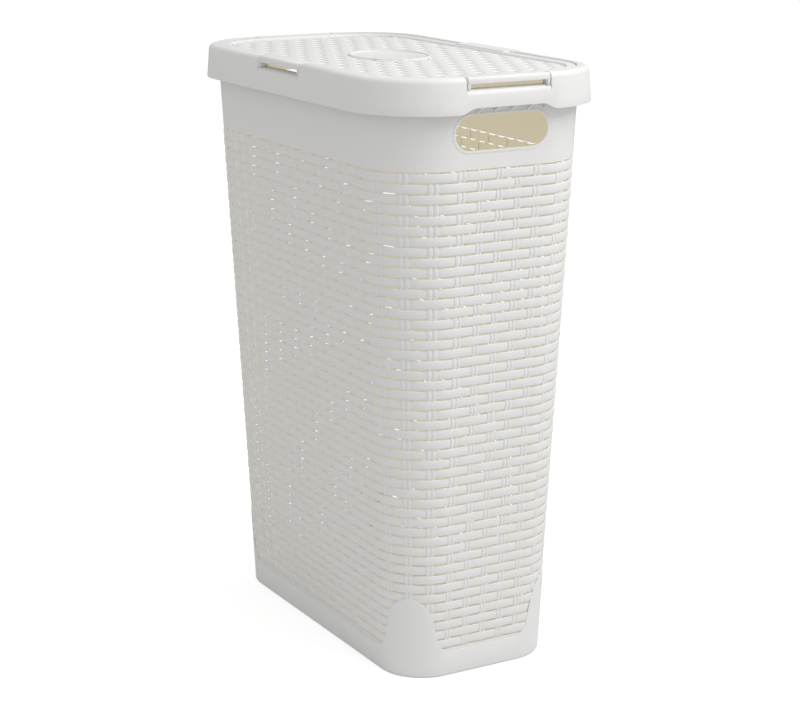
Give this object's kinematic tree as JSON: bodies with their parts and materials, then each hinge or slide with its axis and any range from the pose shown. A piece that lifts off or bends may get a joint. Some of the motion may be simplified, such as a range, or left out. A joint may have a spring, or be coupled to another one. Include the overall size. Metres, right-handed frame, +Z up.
{
  "type": "laundry hamper with lid",
  "caption": "Slim tapered laundry hamper with wicker-look walls, cut-out end handles, a rolled rim with finger notches and a lid hinged along one long side.",
  "frame": {"origin": "middle of the base, on the surface the hamper stands on", "axes": "+X along the long side, towards the right handle; -Y is the front and +Y the hinge side; +Z up"},
  "size_m": [0.4498, 0.256, 0.598],
  "materials": {
    "tub_plastic": "white polypropylene, satin",
    "lid_plastic": "white polypropylene, satin"
  },
  "bodies": {
    "tub": {"tub_wall": "tub_plastic", "tub_floor": "tub_plastic", "base_band": "tub_plastic", "handle_lip_left": "tub_plastic", "handle_lip_right": "tub_plastic", "rim_collar": "tub_plastic", "rim_gussets": "tub_plastic"},
    "lid": {"lid_panel": "lid_plastic", "lid_border": "lid_plastic", "lid_oval_plate": "lid_plastic", "lid_tab_front": "lid_plastic", "lid_tab_left": "lid_plastic", "lid_tab_right": "lid_plastic", "lid_hinge_tab": "lid_plastic", "hinge_pins": "lid_plastic"}
  },
  "joints": [
    {"name": "lid_hinge", "type": "hinge", "parent": "tub", "child": "lid", "pos_m": [0, 0.1205, 0.5915], "axis": [-1, 0, 0], "range_deg": [0, 105]}
  ]
}
